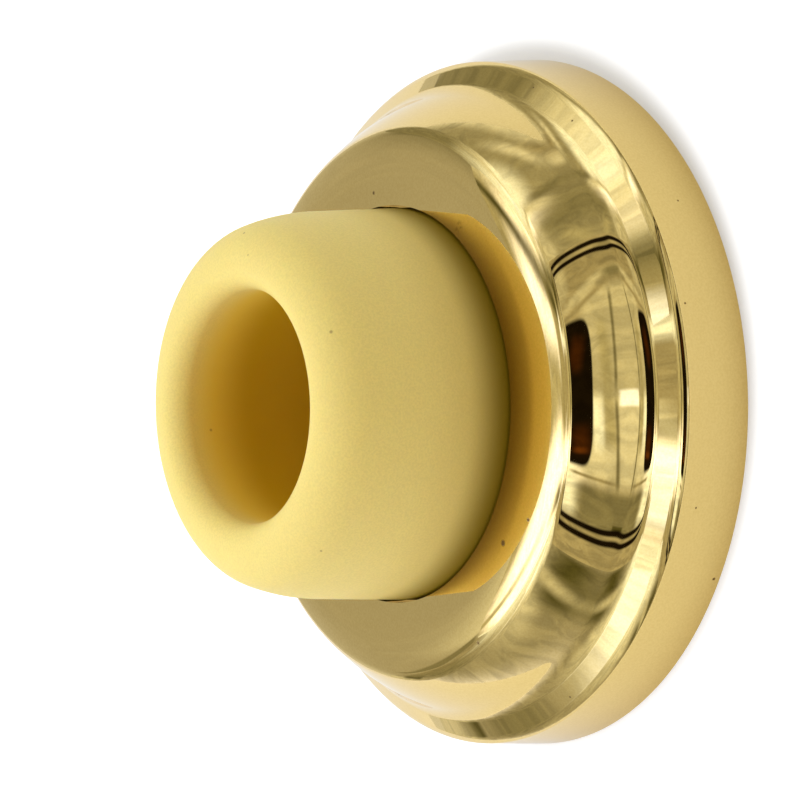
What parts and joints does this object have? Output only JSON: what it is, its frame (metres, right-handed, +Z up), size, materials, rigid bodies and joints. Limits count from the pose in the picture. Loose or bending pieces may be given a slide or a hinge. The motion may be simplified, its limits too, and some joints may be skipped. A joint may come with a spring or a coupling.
{
  "type": "wall door stop",
  "caption": "Round wall door stop: a moulded brass rose carries a cupped rubber bumper, and one screw through both fixes it to the wall.",
  "frame": {"origin": "centre of the back, in the plane of the wall, on the screw's axis", "axes": "+Y into the wall along the screw, -Y out into the room along the bumper, +Z up"},
  "size_m": [0.06, 0.0545, 0.06],
  "materials": {
    "polished_brass": "polished, lacquered",
    "cream_rubber": "moulded, satin",
    "zinc_steel": "bright zinc plated"
  },
  "bodies": {
    "root": {"rose": "polished_brass", "bumper": "cream_rubber", "washer": "zinc_steel", "screw": "zinc_steel"}
  },
  "joints": []
}
